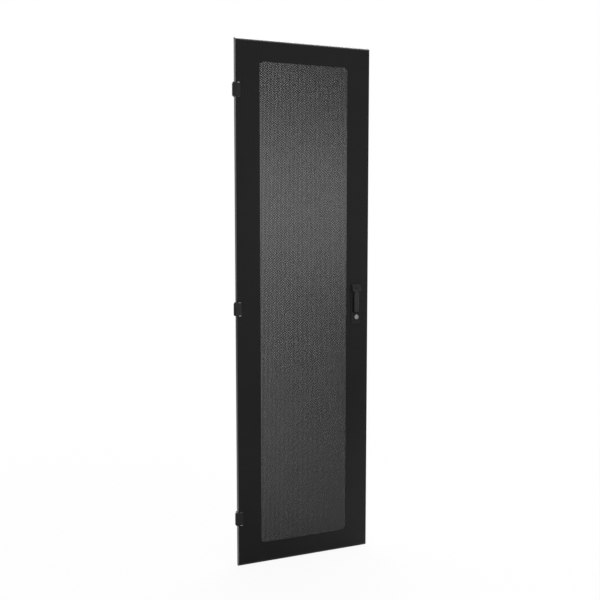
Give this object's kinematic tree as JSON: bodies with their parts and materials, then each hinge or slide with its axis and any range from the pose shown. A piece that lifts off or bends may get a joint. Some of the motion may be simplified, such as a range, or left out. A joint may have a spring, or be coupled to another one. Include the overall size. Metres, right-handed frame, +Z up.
{
  "type": "perforated rack door",
  "caption": "Tall single cabinet door of folded steel with a round-cornered perforated window, pin hinges at the left and a swing handle with key lock at the right.",
  "frame": {"origin": "centre of the middle hinge's two frame screw holes, on the cabinet's mounting plane", "axes": "+X across the door from the hinges to the handle, +Y from the door's front to the cabinet, +Z up"},
  "size_m": [0.564, 0.0478, 1.97],
  "materials": {
    "panel_paint": "fine textured black powder coat",
    "mesh_paint": "black powder coat",
    "channel_paint": "black powder coat",
    "hinge_paint": "black satin coating on die-cast zinc",
    "bright_steel": "bright turned steel",
    "zinc_steel": "zinc plated",
    "rubber": "matte",
    "copper_stud": "copper flashed steel",
    "brass_nut": "plain brass",
    "handle_plastic": "fine grained glass-filled polyamide",
    "handle_metal": "satin black coating on die-cast zinc",
    "lock_chrome": "satin chrome"
  },
  "bodies": {
    "cabinet_side": {"hinge_frame_leaf_top": "hinge_paint", "hinge_frame_leaf_middle": "hinge_paint", "hinge_frame_leaf_bottom": "hinge_paint", "hinge_pin_top": "hinge_paint", "hinge_pin_middle": "hinge_paint", "hinge_pin_bottom": "hinge_paint"},
    "door": {"door_panel": "panel_paint", "perforated_sheet": "mesh_paint", "stiffener_left": "channel_paint", "stiffener_right": "channel_paint", "stiffener_top": "channel_paint", "stiffener_bottom": "channel_paint", "hinge_door_leaf_top": "hinge_paint", "hinge_door_leaf_middle": "hinge_paint", "hinge_door_leaf_bottom": "hinge_paint", "hinge_studs": "zinc_steel", "hinge_nuts": "zinc_steel", "door_bumpers": "rubber", "earth_stud": "copper_stud", "earth_nut": "brass_nut", "handle_gasket": "rubber", "handle_base": "handle_plastic", "handle_bracket": "zinc_steel", "handle_screws": "zinc_steel", "lock_barrel": "lock_chrome", "lock_nut": "bright_steel"},
    "hub": {"handle_hub": "handle_metal", "hub_clip": "bright_steel", "lever_pin": "bright_steel", "latch_cam": "zinc_steel", "cam_screw": "zinc_steel"},
    "lever": {"handle_lever": "handle_metal"},
    "key": {"key_plug": "lock_chrome", "plug_cam": "zinc_steel", "plug_screw": "zinc_steel"}
  },
  "joints": [
    {"name": "door_swing", "type": "hinge", "parent": "cabinet_side", "child": "door", "pos_m": [-0.019, -0.021, 0], "axis": [0, 0, -1], "range_deg": [0, 130]},
    {"name": "handle_turn", "type": "hinge", "parent": "door", "child": "hub", "pos_m": [0.4765, -0.028, 0.063], "axis": [0, 1, 0], "range_deg": [0, 90]},
    {"name": "lever_tilt", "type": "hinge", "parent": "hub", "child": "lever", "pos_m": [0.4765, -0.0373, 0.058], "axis": [-1, 0, 0], "range_deg": [0, 30]},
    {"name": "key_turn", "type": "hinge", "parent": "door", "child": "key", "pos_m": [0.4765, -0.028, -0.0496], "axis": [0, 1, 0], "range_deg": [0, 90]}
  ]
}
